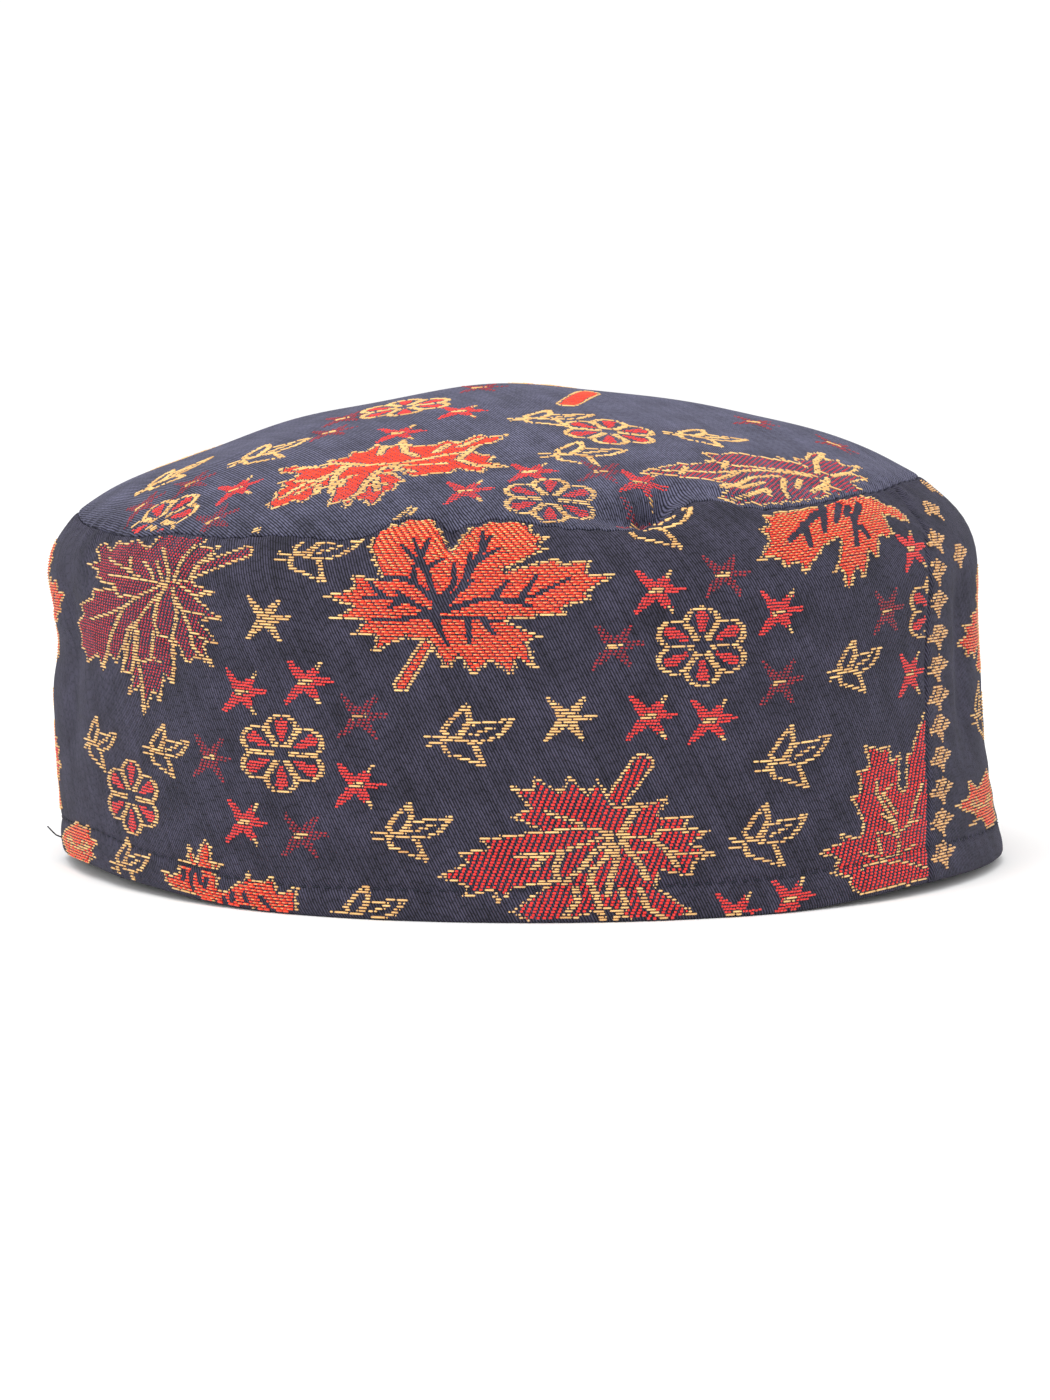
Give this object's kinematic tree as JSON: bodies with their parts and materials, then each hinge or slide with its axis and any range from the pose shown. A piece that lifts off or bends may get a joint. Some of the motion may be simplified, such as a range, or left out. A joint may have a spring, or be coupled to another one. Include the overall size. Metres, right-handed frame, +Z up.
{
  "type": "round brocade cap",
  "caption": "Soft round cap with an upright side band and a low domed oval crown, open below for the head, standing on its hemmed rim.",
  "frame": {"origin": "centre of the cap's outer box, on the surface that its rim stands on", "axes": "+X along the cap's length, towards its right end; -Y towards its front; +Z up towards the crown"},
  "size_m": [0.2022, 0.1686, 0.1004],
  "materials": {
    "band_brocade": "navy twill figured with maple leaves, flowers and sprigs in red, orange and gold thread",
    "crown_brocade": "the same figured navy twill, seen across its sheen",
    "gold_thread": "soft gold weft floats with a silky sheen",
    "red_thread": "red, orange and maroon weft floats with a silky sheen"
  },
  "bodies": {
    "root": {"side_band": "band_brocade", "crown": "crown_brocade"}
  },
  "joints": []
}
